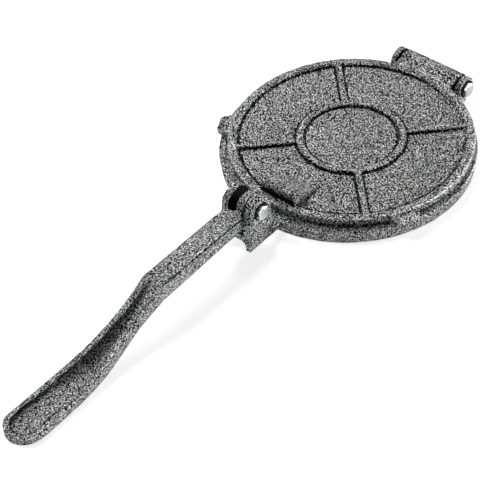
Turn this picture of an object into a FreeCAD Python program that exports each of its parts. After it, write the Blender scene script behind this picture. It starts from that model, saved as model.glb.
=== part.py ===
"""Cast tortilla press: two round plates on a rear hinge, closed by a folding lever.

Frame: the origin is the centre of the base plate at table level, +Z up, +Y towards the
rear hinge, the lever lying along -Y at rest, +X towards the bolt heads. Millimetres.
"""
import FreeCAD
import Part
import Sketcher
import math
import os

# Driving sizes of the press, in millimetres unless the name says otherwise
SIZES = {
    # Top plate
    "plate_radius": 100.0,
    "plate_offset": 4.4,
    "plate_gap": 0.2,
    "plate_edge": 0.9,
    "plate_floor": 3.6,
    "plate_height": 6.0,
    "rim_width": 6.0,
    "rim_draft": 2.6,
    "ring_radius": 41.7,
    "ring_width": 3.8,
    "ring_draft": 1.8,
    "rib_width": 4.0,
    "rib_draft": 1.2,
    "rib_angle_degrees": 45.0,
    # Base plate
    "base_lip": 4.5,
    "base_draft": 1.2,
    "base_edge": 0.8,
    "ledge_height": 10.8,
    "ledge_width": 5.2,
    "groove_width": 4.0,
    "groove_depth": 1.1,
    "platen_height": 12.0,
    "foot_ring_width": 14.0,
    "underside_recess": 3.6,
    "underside_rib_width": 9.0,
    # Lift tabs on the edge of the top plate
    "tab_reach": 10.2,
    "tab_root_width": 27.0,
    "tab_end_width": 18.0,
    "tab_corner": 4.5,
    "tab_angle_degrees": 27.5,
    # Pressing pad on the top plate
    "pad_width": 33.5,
    "pad_inset": 6.9,
    "pad_length": 28.0,
    "pad_rise": 9.9,
    "pad_edge": 1.2,
    "pad_flat": 2.4,
    # Rear hinge
    "hinge_overhang": 9.1,
    "hinge_height": 12.2,
    "lug_radius": 8.6,
    "lug_heel_back": 7.9,
    "lug_heel_up": 7.7,
    "lug_heel_edge": 1.4,
    "lug_width": 57.4,
    "lug_root": 5.4,
    "lug_side_gap": 1.3,
    "lug_running_gap": 0.9,
    "hinge_ear_radius": 10.0,
    "hinge_ear_thickness": 5.5,
    "hinge_ear_root": 19.0,
    "hinge_ear_edge": 0.7,
    # Clevis for the lever
    "clevis_overhang": 20.5,
    "pivot_height": 38.0,
    "clevis_gap": 14.4,
    "clevis_ear_thickness": 7.4,
    "clevis_ear_radius": 12.4,
    "clevis_toe": 15.4,
    "clevis_heel": 14.0,
    "clevis_lift": 5.6,
    "clevis_web_height": 21.0,
    "clevis_arch_width": 22.4,
    "clevis_arch_height": 13.6,
    "clevis_arch_shoulder": 4.6,
    "clevis_arch_corner": 1.6,
    "clevis_edge": 0.8,
    # Lever handle
    "hub_radius": 10.5,
    "hub_width": 7.6,
    "hub_side_gap": 0.8,
    "arm_start": 14.8,
    "arm_length": 106.0,
    "arm_half_width": 9.2,
    "arm_rise": 2.5,
    "arm_depth": 14.6,
    "arm_edge": 1.3,
    "grip_length": 154.0,
    "grip_half_width": 16.4,
    "grip_wall": 5.4,
    "grip_tip_depth": 6.6,
    "channel_depth": 9.0,
    "channel_edge": 0.26,
    # Bolts and nut
    "bolt_radius": 3.175,
    "bolt_fit": 0.05,
    "hex_flats": 11.1,
    "hex_chamfer": 0.9,
    "head_height": 4.1,
    "nut_height": 5.5,
    "bolt_end": 1.5,
    "hinge_bolt_inset": 0.8,
    # How far every cut runs past the surface that it opens
    "overrun": 2.0,
}

# Places that follow from those sizes
BASE_RADIUS = "( plate_radius + base_lip )"
LEDGE_RADIUS = "( plate_radius + base_lip - ledge_width )"
LAND_RADIUS = "( plate_radius + base_lip - ledge_width - groove_width )"
PIVOT_REACH = "( plate_radius + base_lip + clevis_overhang )"
HINGE_REACH = "( plate_radius + plate_offset + hinge_overhang )"
PLATE_UNDER = "( platen_height + plate_gap )"
PLATE_FLOOR = "( platen_height + plate_gap + plate_floor )"
PLATE_TOP = "( platen_height + plate_gap + plate_height )"
CLEVIS_SIDE = "( clevis_gap / 2 + clevis_ear_thickness )"
HINGE_GAP = "( lug_width + 2 * lug_side_gap )"
HINGE_SIDE = "( lug_width / 2 + lug_side_gap + hinge_ear_thickness )"
HUB_RIGHT = "( clevis_gap / 2 - hub_side_gap )"
HEEL_RADIUS = "( ( lug_heel_back ^ 2 + lug_heel_up ^ 2 ) ^ 0.5 )"

# Side of each handle section that stays upright before its round underside begins
UPRIGHT_SIDE_SHARE = 0.9
CHANNEL_SIDE_SHARE = 0.6

# The grip from the knee to the tip, as shares: how far along, the width from the arm's to
# the grip's, the top from the tip's height to the arm's, and the bottom from the table's
GRIP_SHARES = [
    (0.00, 0.00, 0.985, 0.815),
    (0.06, 0.03, 0.826, 0.753),
    (0.13, 0.06, 0.661, 0.672),
    (0.20, 0.10, 0.531, 0.538),
    (0.28, 0.18, 0.401, 0.334),
    (0.39, 0.38, 0.245, 0.112),
    (0.53, 0.74, 0.091, 0.030),
    (0.69, 0.94, 0.021, 0.012),
    (0.85, 1.00, 0.003, 0.008),
    (1.00, 1.00, 0.000, 0.008),
]

# The channel in the grip at the same stations: its width and its depth, as shares
CHANNEL_SHARES = [
    (0.60, 0.10),
    (0.72, 0.42),
    (0.86, 0.62),
    (0.95, 0.76),
    (1.00, 0.90),
    (1.00, 1.00),
    (1.00, 0.80),
    (1.00, 0.58),
    (1.00, 0.53),
    (1.00, 0.50),
]

# The turn that lays a cylinder's or a bolt's own Z axis along X
ALONG_X = FreeCAD.Rotation(FreeCAD.Vector(0, 1, 0), 90)

# A hexagon's distance across flats over its corner radius, also the slope of its chamfer
HEX_FLATS_SHARE = math.sqrt(3)

doc = FreeCAD.newDocument("tortilla_press")

# The sheet that every sketch and feature reads
sheet = doc.addObject("Spreadsheet::Sheet", "Sizes")
for row, (name, number) in enumerate(SIZES.items(), start=1):
    sheet.set(f"A{row}", name)
    sheet.set(f"B{row}", str(number))
    sheet.setAlias(f"B{row}", name)
doc.recompute()


def cells(formula):
    """Write the names in a formula as cells of the sheet."""
    words = formula.replace("(", "( ").replace(")", " )").split()
    return " ".join("Sizes." + word if word in SIZES else word for word in words)


def plane_of(body, role):
    return next(item for item in body.Origin.OriginFeatures if item.Role == role)


def fix_point(sketch, curve, end, across, up):
    """Hold one point of a sketch at formulas for its distances from the sketch's origin."""
    place = sketch.getPoint(curve, end)
    for kind, start, formula in (("DistanceX", place.x, across), ("DistanceY", place.y, up)):
        if formula is None:
            continue
        number = sketch.addConstraint(Sketcher.Constraint(kind, -1, 1, curve, end, start))
        sketch.setExpression(f"Constraints[{number}]", cells(formula))


def draw_outline(sketch, corners):
    """Draw a closed outline of straight lines through corners given as formulas."""
    count = len(corners)
    turns = [2 * math.pi * corner / count for corner in range(count)]
    start = [FreeCAD.Vector(math.cos(turn), math.sin(turn), 0) for turn in turns]
    for corner in range(count):
        sketch.addGeometry(Part.LineSegment(start[corner], start[(corner + 1) % count]), False)
    for corner in range(count):
        following = (corner + 1) % count
        sketch.addConstraint(Sketcher.Constraint("Coincident", corner, 2, following, 1))
    for corner, (across, up) in enumerate(corners):
        fix_point(sketch, corner, 1, across, up)


def draw_circle(sketch, across, up, radius):
    sketch.addGeometry(Part.Circle(FreeCAD.Vector(0, 0, 0), FreeCAD.Vector(0, 0, 1), 1.0), False)
    fix_point(sketch, 0, 3, across, up)
    number = sketch.addConstraint(Sketcher.Constraint("Radius", 0, 1.0))
    sketch.setExpression(f"Constraints[{number}]", cells(radius))


def sketch_on(body, role, name, lift=None):
    """Start a sketch on one of the body's origin planes, lifted along its normal."""
    sketch = body.newObject("Sketcher::SketchObject", name)
    sketch.AttachmentSupport = [(plane_of(body, role), "")]
    sketch.MapMode = "FlatFace"
    if lift:
        sketch.setExpression("AttachmentOffset.Base.z", cells(lift))
    return sketch


def pad(body, sketch, length, symmetric=False):
    feature = body.newObject("PartDesign::Pad", sketch.Name + "_pad")
    feature.Profile = sketch
    if symmetric:
        feature.SideType = "Symmetric"
    feature.setExpression("Length", cells(length))
    doc.recompute()
    return feature


def revolve(body, sketch):
    feature = body.newObject("PartDesign::Revolution", sketch.Name + "_turned")
    feature.Profile = sketch
    feature.ReferenceAxis = (sketch, ["V_Axis"])
    doc.recompute()
    return feature


def repeat_about_z(body, feature, count, whole_angle):
    pattern = body.newObject("PartDesign::PolarPattern", feature.Name + "_repeated")
    pattern.Originals = [feature]
    pattern.Axis = (plane_of(body, "Z_Axis"), [""])
    pattern.Angle = whole_angle
    pattern.Occurrences = count
    body.Tip = pattern
    doc.recompute()
    return pattern


def cut_cylinder(body, name, radius, length, places):
    """Cut a cylinder that runs along X from a place."""
    before = body.Shape.Volume
    feature = body.newObject("PartDesign::SubtractiveCylinder", name)
    feature.setExpression("Radius", cells(radius))
    feature.setExpression("Height", cells(length))
    feature.Placement = FreeCAD.Placement(FreeCAD.Vector(), ALONG_X)
    for letter, formula in zip("xyz", places):
        feature.setExpression(f"Placement.Base.{letter}", cells(formula))
    doc.recompute()
    if body.Shape.Volume >= before:
        raise RuntimeError(f"{name} cuts nothing")
    return feature


def cut_forward(body, sketch, length):
    """Cut a sketch on the XZ plane towards the front."""
    before = body.Shape.Volume
    feature = body.newObject("PartDesign::Pocket", sketch.Name + "_pocket")
    feature.Profile = sketch
    feature.Reversed = True
    feature.setExpression("Length", cells(length))
    doc.recompute()
    if body.Shape.Volume >= before:
        raise RuntimeError(f"{sketch.Name} cuts nothing")
    return feature


def dress_edges(body, kind, name, size, test):
    """Round (Fillet) or bevel (Chamfer) the edges of a body that pass a test."""
    dressed = body.Tip
    chosen = edges_where(dressed.Shape, test)
    if not chosen:
        raise RuntimeError(f"{name} finds no edge")
    feature = body.newObject(f"PartDesign::{kind}", name)
    feature.Base = (dressed, chosen)
    feature.setExpression("Radius" if kind == "Fillet" else "Size", cells(size))
    doc.recompute()
    return feature


def edges_where(shape, test):
    """Name the edges whose middle point passes a test."""
    found = []
    for number, edge in enumerate(shape.Edges, start=1):
        middle = edge.valueAt((edge.FirstParameter + edge.LastParameter) / 2)
        if test(middle, edge):
            found.append(f"Edge{number}")
    return found


def make_base_plate():
    """The lower casting: round platen, clevis for the lever and ears for the hinge."""
    body = doc.addObject("PartDesign::Body", "base_plate")
    doc.recompute()

    # Round plate with a raised pressing land, a groove round it and a recess under it
    plate = sketch_on(body, "XZ_Plane", "base_section")
    draw_outline(plate, [
        ("0", "underside_recess"),
        (f"{BASE_RADIUS} - foot_ring_width", "underside_recess"),
        (f"{BASE_RADIUS} - foot_ring_width", "0"),
        (f"{BASE_RADIUS} - base_draft", "0"),
        (BASE_RADIUS, "ledge_height - base_edge"),
        (f"{BASE_RADIUS} - base_edge", "ledge_height"),
        (LEDGE_RADIUS, "ledge_height"),
        (f"{LEDGE_RADIUS} - groove_depth / 2", "ledge_height - groove_depth"),
        (LAND_RADIUS, "ledge_height - groove_depth"),
        (LAND_RADIUS, "platen_height"),
        ("0", "platen_height"),
    ])
    revolve(body, plate)

    # Crossed ribs under the plate
    rib = sketch_on(body, "XY_Plane", "underside_rib")
    reach = f"( {BASE_RADIUS} - foot_ring_width / 2 )"
    draw_outline(rib, [
        (f"-1 * {reach}", "-0.5 * underside_rib_width"),
        (reach, "-0.5 * underside_rib_width"),
        (reach, "0.5 * underside_rib_width"),
        (f"-1 * {reach}", "0.5 * underside_rib_width"),
    ])
    rib_pad = pad(body, rib, "underside_recess")
    repeat_about_z(body, rib_pad, 2, 90)

    # Clevis: one block with a round head, slotted for the lever's hub
    root = f"-1 * {BASE_RADIUS} + foot_ring_width / 2"
    block = sketch_on(body, "YZ_Plane", "clevis_block")
    draw_outline(block, [
        (f"-1 * {PIVOT_REACH} - clevis_toe", "clevis_lift + clevis_edge"),
        (f"-1 * {PIVOT_REACH} - clevis_toe + clevis_edge", "clevis_lift"),
        (root, "clevis_lift"),
        (root, "ledge_height - groove_depth"),
        (f"-1 * {PIVOT_REACH} + clevis_heel", "ledge_height - groove_depth"),
        (f"-1 * {PIVOT_REACH} + clevis_ear_radius", "pivot_height"),
        (f"-1 * {PIVOT_REACH} - clevis_ear_radius", "pivot_height"),
    ])
    pad(body, block, f"2 * {CLEVIS_SIDE}", symmetric=True)
    head = sketch_on(body, "YZ_Plane", "clevis_head")
    draw_circle(head, f"-1 * {PIVOT_REACH}", "pivot_height", "clevis_ear_radius")
    pad(body, head, f"2 * {CLEVIS_SIDE}", symmetric=True)
    slot_start = f"{PIVOT_REACH} - clevis_ear_radius - clevis_heel"
    slot = sketch_on(body, "XZ_Plane", "clevis_slot", slot_start)
    draw_outline(slot, [
        ("-0.5 * clevis_gap", "clevis_web_height"),
        ("0.5 * clevis_gap", "clevis_web_height"),
        ("0.5 * clevis_gap", "pivot_height + clevis_ear_radius + overrun"),
        ("-0.5 * clevis_gap", "pivot_height + clevis_ear_radius + overrun"),
    ])
    cut_forward(body, slot, "2 * clevis_heel + 2 * clevis_toe + overrun")
    arch = sketch_on(body, "XZ_Plane", "clevis_arch", f"{BASE_RADIUS} - base_draft")
    half = "clevis_arch_width / 2"
    shoulder = "( clevis_arch_height - clevis_arch_shoulder )"
    draw_outline(arch, [
        (f"-1 * {half}", "-1 * overrun"),
        (half, "-1 * overrun"),
        (half, shoulder),
        (f"{half} - clevis_arch_corner", "clevis_arch_height - clevis_arch_corner"),
        (f"{half} - clevis_arch_shoulder", "clevis_arch_height"),
        (f"-1 * {half} + clevis_arch_shoulder", "clevis_arch_height"),
        (f"-1 * {half} + clevis_arch_corner", "clevis_arch_height - clevis_arch_corner"),
        (f"-1 * {half}", shoulder),
    ])
    cut_forward(body, arch, "clevis_overhang + clevis_toe + overrun")
    cut_cylinder(
        body, "lever_bolt_hole", "bolt_radius + bolt_fit", f"2 * {CLEVIS_SIDE} + 2 * overrun",
        (f"-1 * {CLEVIS_SIDE} - overrun", f"-1 * {PIVOT_REACH}", "pivot_height"),
    )

    # Hinge ears either side of the top plate's lug
    root = sketch_on(body, "YZ_Plane", "hinge_ear_root_block")
    draw_outline(root, [
        (f"{HINGE_REACH} - hinge_ear_root", "0"),
        (HINGE_REACH, "0"),
        (HINGE_REACH, "hinge_height"),
        (f"{HINGE_REACH} - hinge_ear_root", "ledge_height - groove_depth"),
    ])
    pad(body, root, f"2 * {HINGE_SIDE}", symmetric=True)
    ear = sketch_on(body, "YZ_Plane", "hinge_ear_head")
    draw_circle(ear, HINGE_REACH, "hinge_height", "hinge_ear_radius")
    pad(body, ear, f"2 * {HINGE_SIDE}", symmetric=True)
    cut_cylinder(
        body, "lug_clearance", f"{HEEL_RADIUS} + lug_running_gap", HINGE_GAP,
        (f"-0.5 * {HINGE_GAP}", HINGE_REACH, "hinge_height"),
    )
    cut_cylinder(
        body, "hinge_bolt_hole", "bolt_radius + bolt_fit", f"2 * {HINGE_SIDE} + 2 * overrun",
        (f"-1 * {HINGE_SIDE} - overrun", HINGE_REACH, "hinge_height"),
    )

    # Bevelled edges of the clevis and of the hinge ears
    front = -SIZES["plate_radius"] - SIZES["base_lip"]
    tall = SIZES["clevis_ear_radius"] - SIZES["bolt_radius"]
    dress_edges(body, "Chamfer", "clevis_bevel", "clevis_edge", lambda middle, edge: (
        middle.y < front and edge.BoundBox.XLength < SIZES["bolt_fit"]
        and edge.BoundBox.ZLength > tall
    ))
    rear = SIZES["plate_radius"] + SIZES["plate_offset"] + SIZES["hinge_overhang"]
    dress_edges(body, "Chamfer", "hinge_ear_bevel", "hinge_ear_edge", lambda middle, edge: (
        middle.y > rear and edge.BoundBox.XLength < SIZES["bolt_fit"]
        and edge.BoundBox.ZLength > SIZES["hinge_ear_radius"]
    ))
    return body


def make_top_plate():
    """The upper casting: rim, centre ring and ribs, with lug, lift tabs and pressing pad."""
    body = doc.addObject("PartDesign::Body", "top_plate")
    body.setExpression("Placement.Base.y", cells("plate_offset"))
    doc.recompute()

    # Round plate with its rim and centre ring
    plate = sketch_on(body, "XZ_Plane", "plate_section")
    draw_outline(plate, [
        ("0", PLATE_UNDER),
        ("plate_radius - plate_edge", PLATE_UNDER),
        ("plate_radius", f"{PLATE_UNDER} + plate_edge"),
        ("plate_radius", f"{PLATE_TOP} - plate_edge"),
        ("plate_radius - plate_edge", PLATE_TOP),
        ("plate_radius - rim_width", PLATE_TOP),
        ("plate_radius - rim_width - rim_draft", PLATE_FLOOR),
        ("ring_radius + ring_width / 2 + ring_draft", PLATE_FLOOR),
        ("ring_radius + ring_width / 2", PLATE_TOP),
        ("ring_radius - ring_width / 2", PLATE_TOP),
        ("ring_radius - ring_width / 2 - ring_draft", PLATE_FLOOR),
        ("0", PLATE_FLOOR),
    ])
    revolve(body, plate)

    # Four ribs from the ring to the rim, at 45 degrees to the hinge, with sloping sides
    rib = sketch_on(body, "YZ_Plane", "plate_rib")
    draw_outline(rib, [
        ("-0.5 * rib_width - rib_draft", PLATE_FLOOR),
        ("0.5 * rib_width + rib_draft", PLATE_FLOOR),
        ("0.5 * rib_width", PLATE_TOP),
        ("-0.5 * rib_width", PLATE_TOP),
    ])
    turn = SIZES["rib_angle_degrees"]
    rib.AttachmentOffset = FreeCAD.Placement(
        FreeCAD.Vector(), FreeCAD.Rotation(FreeCAD.Vector(0, 1, 0), -turn)
    )
    ahead = math.cos(math.radians(turn))
    aside = math.sin(math.radians(turn))
    rib.setExpression("AttachmentOffset.Base.x", cells(f"-1 * ring_radius * {aside:.6f}"))
    rib.setExpression("AttachmentOffset.Base.z", cells(f"ring_radius * {ahead:.6f}"))
    rib_pad = pad(body, rib, "plate_radius - rim_width / 2 - ring_radius")
    repeat_about_z(body, rib_pad, 4, 360)

    # Lug of the hinge: a thick tongue with a flat top, a heel and a round underside
    axis_y = f"( {HINGE_REACH} - plate_offset )"
    slab = sketch_on(body, "YZ_Plane", "lug_slab")
    draw_outline(slab, [
        ("plate_radius - lug_root", PLATE_UNDER),
        (axis_y, PLATE_UNDER),
        (f"{axis_y} + lug_radius", "hinge_height"),
        (f"{axis_y} + lug_heel_back", "hinge_height + lug_heel_up"),
        ("plate_radius - lug_root", PLATE_TOP),
    ])
    pad(body, slab, "lug_width", symmetric=True)
    barrel = sketch_on(body, "YZ_Plane", "lug_barrel")
    draw_circle(barrel, axis_y, "hinge_height", "lug_radius")
    pad(body, barrel, "lug_width", symmetric=True)
    cut_cylinder(
        body, "lug_bore", "bolt_radius + bolt_fit", "lug_width + 2 * overrun",
        ("-0.5 * lug_width - overrun", axis_y, "hinge_height"),
    )

    # Lift tabs, one each side
    tab = sketch_on(body, "XY_Plane", "lift_tab", PLATE_UNDER)
    turn = math.radians(SIZES["tab_angle_degrees"])
    away = (math.cos(turn), -math.sin(turn))
    along = (math.sin(turn), math.cos(turn))

    def tab_corner(reach, half):
        return tuple(
            f"( {reach} ) * {away[axis]:.5f} + {half} * {along[axis]:.5f}" for axis in (0, 1)
        )

    inside = "plate_radius - rim_width"
    outside = "plate_radius + tab_reach"
    draw_outline(tab, [
        tab_corner(inside, "-0.5 * tab_root_width"),
        tab_corner(outside, "-0.5 * tab_end_width"),
        tab_corner(outside, "0.5 * tab_end_width"),
        tab_corner(inside, "0.5 * tab_root_width"),
    ])
    tab_pad = pad(body, tab, "plate_floor")
    mirrored = body.newObject("PartDesign::Mirrored", "lift_tab_mirrored")
    mirrored.Originals = [tab_pad]
    mirrored.MirrorPlane = (plane_of(body, "YZ_Plane"), [""])
    body.Tip = mirrored
    doc.recompute()

    # Pressing pad that the folded lever bears on
    wedge = sketch_on(body, "YZ_Plane", "pressing_pad")
    front = "-1 * plate_radius + pad_inset"
    draw_outline(wedge, [
        (front, PLATE_FLOOR),
        (front, f"{PLATE_TOP} + pad_rise - pad_edge"),
        (f"{front} + pad_edge", f"{PLATE_TOP} + pad_rise"),
        (f"{front} + pad_edge + pad_flat", f"{PLATE_TOP} + pad_rise"),
        (f"{front} + pad_length", PLATE_FLOOR),
    ])
    pad(body, wedge, "pad_width", symmetric=True)

    # Rounded corners of the tabs and of the lug's heel
    far = SIZES["plate_radius"] + SIZES["tab_reach"] / 2
    dress_edges(body, "Fillet", "tab_rounding", "tab_corner", lambda middle, edge: (
        abs(middle.x) > SIZES["lug_width"] and math.hypot(middle.x, middle.y) > far
        and edge.BoundBox.ZLength > SIZES["plate_floor"] / 2
    ))
    heel = SIZES["hinge_height"] + SIZES["lug_heel_up"]
    dress_edges(body, "Fillet", "heel_rounding", "lug_heel_edge", lambda middle, edge: (
        middle.y > SIZES["plate_radius"] and abs(middle.z - heel) < SIZES["bolt_fit"]
        and edge.Length > SIZES["lug_width"] / 2
    ))
    return body


def section(name, station, half_width, top, bottom, edge="arm_edge", share=UPRIGHT_SIDE_SHARE):
    """A U-shaped section of the handle at a distance in front of the press."""
    sketch = doc.addObject("Sketcher::SketchObject", name)
    sketch.Placement = FreeCAD.Placement(
        FreeCAD.Vector(), FreeCAD.Rotation(FreeCAD.Vector(1, 0, 0), 90)
    )
    sketch.setExpression("Placement.Base.y", cells(f"-1 * ( {station} )"))
    shape = [(-2, 0), (-2, 2), (-1, 3), (1, 3), (2, 2), (2, 0)]
    points = [FreeCAD.Vector(across, up, 0) for across, up in shape]
    for start, end in zip(points, points[1:]):
        sketch.addGeometry(Part.LineSegment(start, end), False)
    circle = Part.Circle(FreeCAD.Vector(0, 2, 0), FreeCAD.Vector(0, 0, 1), math.hypot(2, 2))
    sketch.addGeometry(Part.ArcOfCircle(circle, 5 * math.pi / 4, 7 * math.pi / 4), False)
    arc = len(points) - 1
    for curve in range(arc - 1):
        sketch.addConstraint(Sketcher.Constraint("Coincident", curve, 2, curve + 1, 1))
    sketch.addConstraint(Sketcher.Constraint("Coincident", arc - 1, 2, arc, 2))
    sketch.addConstraint(Sketcher.Constraint("Coincident", arc, 1, 0, 1))
    low = f"( ( {top} ) - {share} * ( ( {top} ) - ( {bottom} ) ) )"
    rise = f"( {low} - ( {bottom} ) )"
    radius = f"( ( ( {half_width} ) ^ 2 + {rise} ^ 2 ) / ( 2 * {rise} ) )"
    fix_point(sketch, 0, 1, f"-1 * ( {half_width} )", low)
    fix_point(sketch, 0, 2, f"-1 * ( {half_width} )", f"( {top} ) - {edge}")
    fix_point(sketch, 1, 2, f"-1 * ( {half_width} ) + {edge}", top)
    fix_point(sketch, 2, 2, f"( {half_width} ) - {edge}", top)
    fix_point(sketch, 3, 2, half_width, f"( {top} ) - {edge}")
    fix_point(sketch, 4, 2, half_width, low)
    fix_point(sketch, arc, 3, None, f"( {bottom} ) + {radius}")
    return sketch


def loft(name, sections, ruled):
    feature = doc.addObject("Part::Loft", name)
    feature.Sections = sections
    feature.Solid = True
    feature.Ruled = ruled
    feature.MaxDegree = 3
    return feature


def placed_box(name, lengths, places):
    box = doc.addObject("Part::Box", name)
    for side, formula in zip(("Length", "Width", "Height"), lengths):
        box.setExpression(side, cells(formula))
    for letter, formula in zip("xyz", places):
        box.setExpression(f"Placement.Base.{letter}", cells(formula))
    return box


def placed_cylinder(name, radius, length, axis, places):
    cylinder = doc.addObject("Part::Cylinder", name)
    cylinder.setExpression("Radius", cells(radius))
    cylinder.setExpression("Height", cells(length))
    if axis == "x":
        cylinder.Placement = FreeCAD.Placement(FreeCAD.Vector(), ALONG_X)
    for letter, formula in zip("xyz", places):
        cylinder.setExpression(f"Placement.Base.{letter}", cells(formula))
    return cylinder


def join(name, pieces):
    feature = doc.addObject("Part::MultiFuse", name)
    feature.Shapes = pieces
    return feature


def combine(kind, name, base, tool):
    feature = doc.addObject(f"Part::{kind}", name)
    feature.Base = base
    feature.Tool = tool
    return feature


def make_lever_handle():
    """The lever: hub, square arm, knee, and a grip that widens into a long open channel."""
    arm_top = "( pivot_height + arm_rise )"
    arm_bottom = "( pivot_height + arm_rise - arm_depth )"
    knee = f"( {PIVOT_REACH} + arm_length )"

    # Hub on the bolt and the straight arm to the knee
    hub_left = f"{HUB_RIGHT} - hub_width"
    hub = placed_cylinder(
        "hub", "hub_radius", "hub_width", "x", (hub_left, f"-1 * {PIVOT_REACH}", "pivot_height"),
    )
    neck = placed_box(
        "neck", ("hub_width", "arm_start + overrun", "hub_radius + arm_rise - arm_edge"),
        (hub_left, f"-1 * {PIVOT_REACH} - arm_start - overrun", "pivot_height - hub_radius"),
    )
    outer = []
    inner = []
    for number, (along, wide, high, low) in enumerate(GRIP_SHARES):
        station = f"{knee} + {along} * grip_length"
        half = f"( arm_half_width + {wide} * ( grip_half_width - arm_half_width ) )"
        top = f"( grip_tip_depth + {high} * ( {arm_top} - grip_tip_depth ) )"
        bottom = f"( {low} * {arm_bottom} )"
        outer.append(section(f"grip_section_{number}", station, half, top, bottom))
        channel_wide, channel_deep = CHANNEL_SHARES[number]
        inner.append(section(
            f"channel_section_{number}", station,
            f"{channel_wide} * ( {half} - grip_wall )", f"{top} + overrun",
            f"{top} - {channel_deep} * channel_depth", "channel_edge", CHANNEL_SIDE_SHARE,
        ))
    start = section(
        "arm_section", f"{PIVOT_REACH} + arm_start", "arm_half_width", arm_top, arm_bottom
    )
    arm = loft("arm", [start, outer[0]], True)
    grip = loft("grip", outer, False)

    # The tip is round in plan, and the channel ends one wall short of it
    centre = f"( {knee} + grip_length - grip_half_width )"
    foot = ("0", f"-1 * {centre}", "-1 * overrun")
    corner = ("-2 * grip_half_width", f"-1 * {centre}", "-1 * overrun")
    tall = "pivot_height + clevis_ear_radius + 2 * overrun"
    rest = ("4 * grip_half_width", "grip_length + arm_length", tall)
    tip_round = placed_cylinder("tip_round", "grip_half_width", tall, "z", foot)
    tip_clear = placed_box("tip_clear", rest, corner)
    grip_plan = join("grip_plan", [tip_round, tip_clear])
    grip_cut = combine("Common", "grip_rounded", grip, grip_plan)
    channel = loft("channel", inner, False)
    channel_round = placed_cylinder(
        "channel_round", "grip_half_width - grip_wall", tall, "z", foot
    )
    channel_clear = placed_box("channel_clear", rest, corner)
    channel_plan = join("channel_plan", [channel_round, channel_clear])
    channel_cut = combine("Common", "channel_rounded", channel, channel_plan)
    whole = join("handle_whole", [hub, neck, arm, grip_cut])
    hollow = combine("Cut", "handle_hollowed", whole, channel_cut)
    bore = placed_cylinder(
        "hub_bore", "bolt_radius + bolt_fit", "hub_width + 2 * overrun", "x",
        (f"{hub_left} - overrun", f"-1 * {PIVOT_REACH}", "pivot_height"),
    )
    handle = combine("Cut", "lever_handle", hollow, bore)
    return handle


def make_hexagon(name, height):
    """A hexagon whose outer corners are taken off by a cone."""
    prism = doc.addObject("Part::Prism", name + "_prism")
    prism.Polygon = 6
    corner = f"hex_flats / {HEX_FLATS_SHARE:.6f}"
    fall = f"{HEX_FLATS_SHARE:.6f} * hex_chamfer"
    rise = f"{HEX_FLATS_SHARE:.6f} * ( {height} - hex_chamfer )"
    prism.setExpression("Circumradius", cells(corner))
    prism.setExpression("Height", cells(height))
    cone = doc.addObject("Part::Cone", name + "_cone")
    cone.setExpression("Radius1", cells(f"{corner} + {rise}"))
    cone.setExpression("Radius2", cells(f"{corner} - {fall}"))
    cone.setExpression("Height", cells(height))
    return combine("Common", name + "_hexagon", prism, cone)


def make_bolt(name, shank_length, head_x, reach, height):
    """A hexagon bolt along X with its head on the +X side."""
    head = make_hexagon(name, "head_height")
    shank = placed_cylinder(
        name + "_shank", "bolt_radius", f"{shank_length} + head_height / 2", "z",
        ("0", "0", f"-1 * ( {shank_length} )"),
    )
    bolt = join(name, [head, shank])
    bolt.Placement = FreeCAD.Placement(FreeCAD.Vector(), ALONG_X)
    for letter, formula in zip("xyz", (head_x, reach, height)):
        bolt.setExpression(f"Placement.Base.{letter}", cells(formula))
    return bolt


def make_nut(name, face_x, reach, height):
    """A hexagon nut along X whose flat face looks to +X."""
    hexagon = make_hexagon(name, "nut_height")
    bore = placed_cylinder(
        name + "_bore", "bolt_radius + bolt_fit", "nut_height + 2 * overrun", "z",
        ("0", "0", "-1 * overrun"),
    )
    nut = combine("Cut", name, hexagon, bore)
    nut.Placement = FreeCAD.Placement(FreeCAD.Vector(), ALONG_X.inverted())
    for letter, formula in zip("xyz", (face_x, reach, height)):
        nut.setExpression(f"Placement.Base.{letter}", cells(formula))
    return nut


base_plate = make_base_plate()
top_plate = make_top_plate()
lever_handle = make_lever_handle()

# Lever bolt through the clevis with its nut, and the hinge bolt screwed into the far ear
lever_bolt = make_bolt(
    "lever_bolt", f"2 * {CLEVIS_SIDE} + nut_height + bolt_end", CLEVIS_SIDE,
    f"-1 * {PIVOT_REACH}", "pivot_height",
)
lever_nut = make_nut("lever_nut", f"-1 * {CLEVIS_SIDE}", f"-1 * {PIVOT_REACH}", "pivot_height")
hinge_bolt = make_bolt(
    "hinge_bolt", f"2 * {HINGE_SIDE} - hinge_bolt_inset", HINGE_SIDE, HINGE_REACH, "hinge_height"
)

doc.recompute()
PIECES = [base_plate, top_plate, lever_handle, lever_bolt, lever_nut, hinge_bolt]

for item in doc.Objects:
    if any(state in item.State for state in ("Invalid", "Error")):
        raise RuntimeError(f"{item.Name} failed: {item.State}")
for piece in PIECES:
    if piece.Shape.isNull() or not piece.Shape.isValid():
        raise RuntimeError(f"{piece.Name} has no valid shape")
    print(piece.Name, len(piece.Shape.Solids), "solid", round(piece.Shape.Volume), piece.Shape.BoundBox)

os.makedirs("parts", exist_ok=True)
for piece in PIECES:
    piece.Label = piece.Name
    piece.Shape.exportStep(f"parts/{piece.Label}.step")
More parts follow.
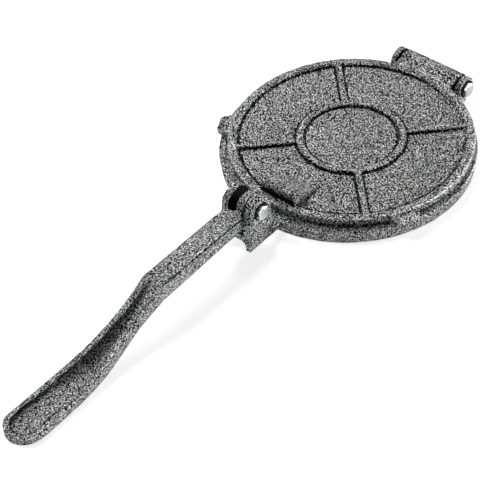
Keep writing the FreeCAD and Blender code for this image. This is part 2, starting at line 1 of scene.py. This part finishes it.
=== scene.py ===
"""Cast tortilla press in silver hammered paint, on a pale floor in soft light."""
import bpy
import bmesh
import math
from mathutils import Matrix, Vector

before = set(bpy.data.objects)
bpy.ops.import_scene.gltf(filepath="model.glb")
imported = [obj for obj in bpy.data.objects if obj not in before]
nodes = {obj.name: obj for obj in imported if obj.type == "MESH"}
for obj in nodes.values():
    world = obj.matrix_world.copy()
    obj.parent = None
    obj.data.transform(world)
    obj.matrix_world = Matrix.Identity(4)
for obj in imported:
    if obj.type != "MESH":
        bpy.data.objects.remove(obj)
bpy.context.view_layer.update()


# Base plate
# The lower casting of grey iron, with the clevis for the lever and two ears for the hinge.
# It is sprayed with thick silver vein paint: as that dries, a dark ground draws together
# between raised silver grains. The dark in its clevis and hinge slots and round the bolt
# heads is painted shade, and the bright line on its rim edge a painted highlight.

class Wire:
    """One output of a shader node, so that maths on it reads as an expression."""

    def __init__(self, sheet, socket):
        self.sheet = sheet
        self.socket = socket

    def maths(self, operation, *others):
        sockets = dict(enumerate((self, *others)))
        return self.sheet.node("Math", {"operation": operation}, sockets)

    def __add__(self, other):
        return self.maths("ADD", other)

    __radd__ = __add__

    def __sub__(self, other):
        return self.maths("SUBTRACT", other)

    def __rsub__(self, other):
        return self * -1 + other

    def __mul__(self, other):
        return self.maths("MULTIPLY", other)

    __rmul__ = __mul__

    def magnitude(self):
        return self.maths("ABSOLUTE")

    def or_more(self, other):
        return self.maths("MAXIMUM", other)

    def above(self, low, high):
        """0 below low, 1 above high, smooth between."""
        return self.sheet.node(
            "MapRange", {"interpolation_type": "SMOOTHSTEP"},
            {"Value": self, "From Min": low, "From Max": high},
        )

    def below(self, low, high):
        """1 below low, 0 above high, smooth between."""
        return 1 - self.above(low, high)


class NodeSheet:
    """The shader nodes of a material or of the world."""

    def __init__(self, owner):
        owner.use_nodes = True
        self.tree = owner.node_tree

    def fill(self, socket, value):
        """Link a wire to a socket, or set a plain value on it."""
        if isinstance(value, Wire):
            self.tree.links.new(value.socket, socket)
        else:
            socket.default_value = value

    def node(self, kind, settings, sockets, output=0):
        """Add a node of a type, with its settings and its sockets by name or number."""
        node = self.tree.nodes.new("ShaderNode" + kind)
        for name, value in settings.items():
            setattr(node, name, value)
        for name, value in sockets.items():
            self.fill(node.inputs[name], value)
        return Wire(self, node.outputs[output])


class Finish(NodeSheet):
    """A new material, whose own shader is fed by the names of its sockets."""

    def __init__(self, name):
        self.material = bpy.data.materials.new(name)
        super().__init__(self.material)
        self.shader = self.tree.nodes["Principled BSDF"]

    def feed(self, name, value):
        self.fill(self.shader.inputs[name], value)

    def place(self):
        """Object coordinates, which are metres in the frame of the whole press."""
        return self.node("TexCoord", {}, {}, "Object")

    def noise(self, place, grain_size, detail=2.0, roughness=0.5, distortion=0.0):
        return self.node("TexNoise", {"noise_dimensions": "3D"}, {
            "Vector": place, "Scale": 1 / grain_size, "Detail": detail,
            "Roughness": roughness, "Distortion": distortion,
        })

    def colour_between(self, mask, low, high):
        """A colour that runs from low to high with the mask."""
        factor, first, second, result = 0, 6, 7, 2
        colours = {factor: mask, first: (*low, 1), second: (*high, 1)}
        return self.node("Mix", {"data_type": "RGBA"}, colours, result)

    def feed_bump(self, relief, strength, height):
        sockets = {"Height": relief, "Strength": strength, "Distance": height}
        self.feed("Normal", self.node("Bump", {}, sockets))

    def give_to(self, piece):
        for slot in nodes[piece].material_slots:
            slot.material = self.material


def near(distance, line, reach=0.0016):
    """1 on a line, 0 farther from it than the reach."""
    core_share = 0.45
    return (distance - line).magnitude().below(reach * core_share, reach)


def radius_of(one, other):
    return (one * one + other * other).maths("SQRT")


def hammered_paint(name, grain_size, silver_cover, pooling_shade_and_highlight):
    """Silver grains on a dark ground; the given lines darken it above 0 (painted shade, partly
    pooled ground) and brighten it below 0 (painted highlight).
    """
    ground, silver = (0.002, 0.002, 0.002), (0.96, 0.97, 0.98)
    patch_size, patch_strength = 0.018, 0.04
    sand_size = 0.006
    pooling_and_shade_depth, grain_edge = 0.25, 0.01
    silver_metal, specular_level = 0.7, 0.1
    ground_roughness, silver_smoothness = 0.7, 0.32
    silver_relief, grain_relief, sand_relief = 0.55, 2.0, 0.9
    bump_strength, bump_height = 0.8, 0.0006
    # The slant keeps flat faces from cutting the noise along its own grid
    slant = (0.6, 0.5, 0.3)

    paint = Finish(name)
    place = paint.place()
    slanted = paint.node("Mapping", {}, {"Vector": place, "Rotation": slant})
    grain = paint.noise(slanted, grain_size, detail=0.0)
    patches = paint.noise(place, patch_size)
    sand = paint.noise(place, sand_size)
    across, ahead, height = (
        paint.node("SeparateXYZ", {}, {"Vector": place}, axis) for axis in "XYZ"
    )
    level = grain + (patches - 0.5) * patch_strength
    # Painted shade and painted highlight along the given lines; on the top plate part of the
    # dark is ground pooled at the wall feet.
    level = level - pooling_shade_and_highlight(across, ahead, height) * pooling_and_shade_depth
    raised = level.above(silver_cover - grain_edge, silver_cover + grain_edge)
    paint.feed("Base Color", paint.colour_between(raised, ground, silver))
    paint.feed("Metallic", raised * silver_metal)
    paint.feed("Roughness", ground_roughness - raised * silver_smoothness)
    paint.feed("Specular IOR Level", specular_level)
    relief = raised * silver_relief + grain * grain_relief + sand * sand_relief
    paint.feed_bump(relief, bump_strength, bump_height)
    return paint


def head_shadow_ring(aside, ahead, height, outer_face, axis_ahead, axis_height):
    """A ring of painted shadow round a bolt head or nut, on the casting's outer face."""
    ring_radius, ring_reach, face_blur = 0.0066, 0.0014, 0.0002
    radius = radius_of(ahead - axis_ahead, height - axis_height)
    on_face = aside.above(outer_face - face_blur, outer_face)
    return near(radius, ring_radius, ring_reach) * on_face


pivot_ahead, pivot_height = -0.1250, 0.0380


def base_painted_light(across, ahead, height):
    """Painted shade in the clevis, in the hinge slots and round the bolt heads; painted
    highlight on the rim.
    """
    clevis_slot_side = (0.0074, 0.0080)
    clevis_slot_back = (-0.1100, -0.1090)
    clevis_slot_floor = (0.0180, 0.0220)
    clevis_face = 0.0144
    hinge_face, hinge_ahead, hinge_height = 0.0343, 0.1135, 0.0122
    ear_inner_face, ear_face_reach, ear_front = 0.0298, 0.0010, (0.1000, 0.1020)
    rim_radius, rim_reach, rim_height, rim_highlight_strength = 0.1040, 0.0010, (0.0095, 0.0099), 0.12

    aside = across.magnitude()
    # Painted shade in the clevis slot, round the bolt heads and on the hinge ears' inner
    # faces.
    slot = aside.below(*clevis_slot_side) * ahead.below(*clevis_slot_back)
    slot = slot * height.above(*clevis_slot_floor)
    pivot_head_shadow = head_shadow_ring(aside, ahead, height, clevis_face, pivot_ahead, pivot_height)
    hinge_head_shadow = head_shadow_ring(aside, ahead, height, hinge_face, hinge_ahead, hinge_height)
    ear_side_shade = near(aside, ear_inner_face, ear_face_reach) * ahead.above(*ear_front)
    # Painted highlight along the rim's outer edge.
    painted_rim_highlight = near(radius_of(across, ahead), rim_radius, rim_reach)
    painted_rim_highlight = painted_rim_highlight * height.above(*rim_height)
    dark = slot.or_more(pivot_head_shadow).or_more(hinge_head_shadow).or_more(ear_side_shade)
    return dark - painted_rim_highlight * rim_highlight_strength


plate_grain, plate_silver = 0.00086, 0.578
base_paint = hammered_paint("base_plate_paint", plate_grain, plate_silver, base_painted_light)
base_paint.give_to("base_plate")


# Top plate
# The upper casting, with its rim, centre ring, four ribs, rear lug, lift tabs and pressing
# pad cast in one. It wears the base plate's paint. At the foot of rim, ring and ribs the dark
# is partly pooled ground and partly painted shade; beside the lug and on the pad's front it is
# painted shade, and the bright line on the rim's top edge is a painted highlight.

def lid_pooling_and_painted_light(across, ahead, height):
    """Pooled ground and painted shade at the foot of rim, ring and ribs; painted shade on the
    pad's front and beside the lug; painted highlight on the rim.
    """
    centre_ahead = 0.0044
    rim_foot, ring_outer_foot, ring_inner_foot = 0.0914, 0.0454, 0.0380
    rib_start, rib_end, rib_half_width = (0.0440, 0.0450), (0.0910, 0.0920), 0.0032
    foot_low, foot_high, foot_darkness = (0.0140, 0.0150), (0.0168, 0.0176), 0.7
    rear_right, lit_rear_right_fading = (0.08, 0.13), 0.7
    lug_side, lug_reach, lug_front = 0.0289, 0.0012, (0.1000, 0.1020)
    pad_front, pad_half_width, pad_top = -0.0931, (0.0165, 0.0169), (0.0195, 0.0245)
    rim_edge, rim_edge_reach, rim_top, rim_highlight_strength = 0.0996, 0.0009, (0.0166, 0.0172), 0.27

    aside = across.magnitude()
    forward = ahead - centre_ahead
    radius = radius_of(across, forward)
    # Partly ground pooled at the wall feet, partly painted shade; the painted shade fades at
    # the rear right, where those walls take the light.
    foot_pooling_and_shade = near(radius, rim_foot).or_more(near(radius, ring_outer_foot))
    foot_pooling_and_shade = foot_pooling_and_shade.or_more(near(radius, ring_inner_foot))
    rib_reach = radius.above(*rib_start) * radius.below(*rib_end)
    for diagonal in (across + forward, across - forward):
        rib_side = (diagonal * math.sqrt(0.5)).magnitude()
        foot_pooling_and_shade = foot_pooling_and_shade.or_more(near(rib_side, rib_half_width) * rib_reach)
    at_foot = height.above(*foot_low) * height.below(*foot_high)
    at_rear_right = (across + forward).above(*rear_right)
    foot_pooling_and_shade = foot_pooling_and_shade * at_foot * foot_darkness * (1 - at_rear_right * lit_rear_right_fading)
    # Painted shade beside the lug and on the pad's front face.
    lug_side_shade = near(aside, lug_side, lug_reach) * ahead.above(*lug_front)
    pad_front_shade = near(forward, pad_front) * aside.below(*pad_half_width)
    pad_front_shade = pad_front_shade * height.below(*pad_top)
    # Painted highlight along the rim's top edge.
    painted_rim_highlight = near(radius, rim_edge, rim_edge_reach) * height.above(*rim_top)
    return foot_pooling_and_shade.or_more(lug_side_shade).or_more(pad_front_shade) - painted_rim_highlight * rim_highlight_strength


lid_paint = hammered_paint("top_plate_paint", plate_grain, plate_silver, lid_pooling_and_painted_light)
lid_paint.give_to("top_plate")


# Lever
# The lever casting: a hub between the clevis ears, a square arm, a knee and an open grip.
# Its coat is thinner, so its grains are finer.

def lever_painted_shade(across, ahead, height):
    """Painted shade on the hub's sides, along the arm's upper edges and round the channel's
    end.
    """
    hub_right, hub_right_reach = 0.0068, 0.0014
    hub_left, hub_left_reach = -0.0016, 0.0008
    hub_front = (-0.1385, -0.1375)
    arm_edge, arm_edge_reach, arm_edge_darkness = 0.0093, 0.0004, 0.6
    arm_edge_height, arm_start = (0.0370, 0.0376), (-0.1400, -0.1390)
    channel_end_centre, channel_radius = -0.3686, 0.0106
    channel_end_front, grip_top = (-0.3640, -0.3400), (0.0050, 0.0065)

    # Painted shade on the hub's sides in the clevis.
    right_side = near(across, hub_right, hub_right_reach)
    hub_side_shade = right_side.or_more(near(across, hub_left, hub_left_reach))
    hub_side_shade = hub_side_shade * ahead.above(*hub_front)
    # Painted shade along the arm's upper edges.
    arm_edge_shade = near(across.magnitude(), arm_edge, arm_edge_reach)
    arm_edge_shade = arm_edge_shade * height.above(*arm_edge_height) * ahead.below(*arm_start)
    # Painted shade round the hollow at the channel's end.
    past_centre = (ahead - channel_end_centre).maths("MINIMUM", 0.0)
    channel_end = near(radius_of(across, past_centre), channel_radius)
    channel_end = channel_end * ahead.below(*channel_end_front) * height.above(*grip_top)
    return hub_side_shade.or_more(arm_edge_shade * arm_edge_darkness).or_more(channel_end)


lever_grain, lever_silver = 0.00078, 0.568
lever_paint = hammered_paint("lever_handle_paint", lever_grain, lever_silver, lever_painted_shade)
lever_paint.give_to("lever_handle")


# Bolts and nut
# Quarter-inch hexagon bolts and a nut in bright zinc plate; the hinge bolt has a darker copy
# of it, painted shade that keeps its head apart from the white floor. The cut
# thread shows only where the lever bolt stands out of its nut.

def thread_groove(across, ahead, height):
    """One turn of the screw's groove for each pitch along the lever bolt."""
    pitch, nut_face = 0.00127, (-0.0203, -0.0200)
    angle = (ahead - pivot_ahead).maths("ARCTAN2", height - pivot_height)
    turns = across * (1 / pitch) + angle * (0.5 / math.pi)
    return (turns * (2 * math.pi)).maths("SINE") * across.below(*nut_face)


def zinc_plate(name, dull, bright, threaded=False):
    cloud_size, cloud_edges = 0.003, (0.3, 0.7)
    clear_roughness, cloud_roughness = 0.18, 0.12
    scratch_size, scratch_relief, thread_relief = 0.0008, 0.04, 0.5
    bump_strength, bump_height = 0.6, 0.0004
    zinc = Finish(name)
    place = zinc.place()
    cloud = zinc.noise(place, cloud_size, detail=3.0, roughness=0.6, distortion=0.2)
    colour = zinc.colour_between(cloud.above(*cloud_edges), dull, bright)
    zinc.feed("Base Color", colour)
    zinc.feed("Metallic", 1.0)
    zinc.feed("Roughness", clear_roughness + cloud * cloud_roughness)
    relief = zinc.noise(place, scratch_size) * scratch_relief
    if threaded:
        axes = [zinc.node("SeparateXYZ", {}, {"Vector": place}, axis) for axis in "XYZ"]
        relief = relief + thread_groove(*axes) * thread_relief
    zinc.feed_bump(relief, bump_strength, bump_height)
    return zinc


light_zinc = ((0.60, 0.62, 0.64), (0.80, 0.81, 0.82))
# The hinge bolt's darker copy of the zinc is painted shade.
shaded_zinc = ((0.38, 0.40, 0.42), (0.54, 0.55, 0.56))
zinc_plate("lever_bolt_zinc", *light_zinc, threaded=True).give_to("lever_bolt")
zinc_plate("lever_nut_zinc", *light_zinc).give_to("lever_nut")
zinc_plate("hinge_bolt_zinc", *shaded_zinc).give_to("hinge_bolt")


# Floor
# A pale studio floor that shows white to the camera and to bright metal, and still keeps the
# soft shadow of the press.

def light_paths(sheet):
    """Whether a ray comes from the camera, from a mirror surface or through glass."""
    kinds = ("Is Camera Ray", "Is Glossy Ray", "Is Transmission Ray")
    return [sheet.node("LightPath", {}, {}, kind) for kind in kinds]


floor_half_width, floor_drop = 6.0, 0.0004
floor_grey = (0.8, 0.8, 0.8, 1)
seen_glow, mirrored_glow = 0.79, 0.58

floor_paint = Finish("pale_floor_paint")
floor_paint.feed("Base Color", floor_grey)
floor_paint.feed("Roughness", 1.0)
floor_paint.feed("Specular IOR Level", 0.0)
seen, mirrored, passed_on = light_paths(floor_paint)
strength = seen * seen_glow + (mirrored + passed_on) * mirrored_glow
glow = floor_paint.node("Emission", {}, {"Strength": strength})
matt = Wire(floor_paint, floor_paint.shader.outputs["BSDF"])
glowing = floor_paint.node("AddShader", {}, {0: matt, 1: glow})
floor_paint.fill(floor_paint.tree.nodes["Material Output"].inputs["Surface"], glowing)

floor_shape = bmesh.new()
bmesh.ops.create_grid(floor_shape, x_segments=1, y_segments=1, size=floor_half_width)
floor_mesh = bpy.data.meshes.new("floor")
floor_shape.to_mesh(floor_mesh)
floor_shape.free()
floor_mesh.materials.append(floor_paint.material)
floor = bpy.data.objects.new("floor", floor_mesh)
floor.location.z = -floor_drop
bpy.context.scene.collection.objects.link(floor)


# Lamps and room
# A key lamp behind and to the left, a smaller one high on the left, and a low strip that
# lights the walls on the right. The room is dim, and white only to the camera.

def area_lamp(name, place, width, height, power):
    data = bpy.data.lights.new(name, "AREA")
    data.shape = "RECTANGLE"
    data.size = width
    data.size_y = height
    data.energy = power
    lamp = bpy.data.objects.new(name, data)
    lamp.location = place
    lamp.rotation_euler = (-Vector(place)).to_track_quat("-Z", "Y").to_euler()
    bpy.context.scene.collection.objects.link(lamp)


area_lamp("key_lamp", place=(-1.1, 0.8, 1.3), width=0.9, height=0.9, power=22.5)
area_lamp("left_lamp", place=(-0.9, -0.5, 1.6), width=0.5, height=0.5, power=12.0)
area_lamp("strip_lamp", place=(0.95, 1.15, 0.07), width=1.2, height=0.12, power=28.0)

room_light, seen_light, mirrored_light = 0.03, 0.97, 0.17
world = bpy.data.worlds.new("studio")
room = NodeSheet(world)
sky = room.tree.nodes["Background"]
room.fill(sky.inputs["Color"], (1, 1, 1, 1))
seen, mirrored, passed_on = light_paths(room)
strength = seen * seen_light + (mirrored + passed_on) * mirrored_light + room_light
room.fill(sky.inputs["Strength"], strength)
bpy.context.scene.world = world


# Camera
# A long lens on a tripod, which looks down on the press from the front right and is tilted
# a little. The Standard view shows the colours as they are.

camera_data = bpy.data.cameras.new("photo_camera")
camera_data.sensor_width = 36.0
camera_data.lens = 136.161
camera_data.clip_start = 0.05
camera_data.clip_end = 20.0
camera = bpy.data.objects.new("photo_camera", camera_data)
camera.location = (0.72987, -0.90134, 1.01372)
camera.rotation_euler = [math.radians(turn) for turn in (46.0332, 2.9586, 40.3562)]
bpy.context.scene.collection.objects.link(camera)
bpy.context.scene.camera = camera
bpy.context.scene.view_settings.view_transform = "Standard"
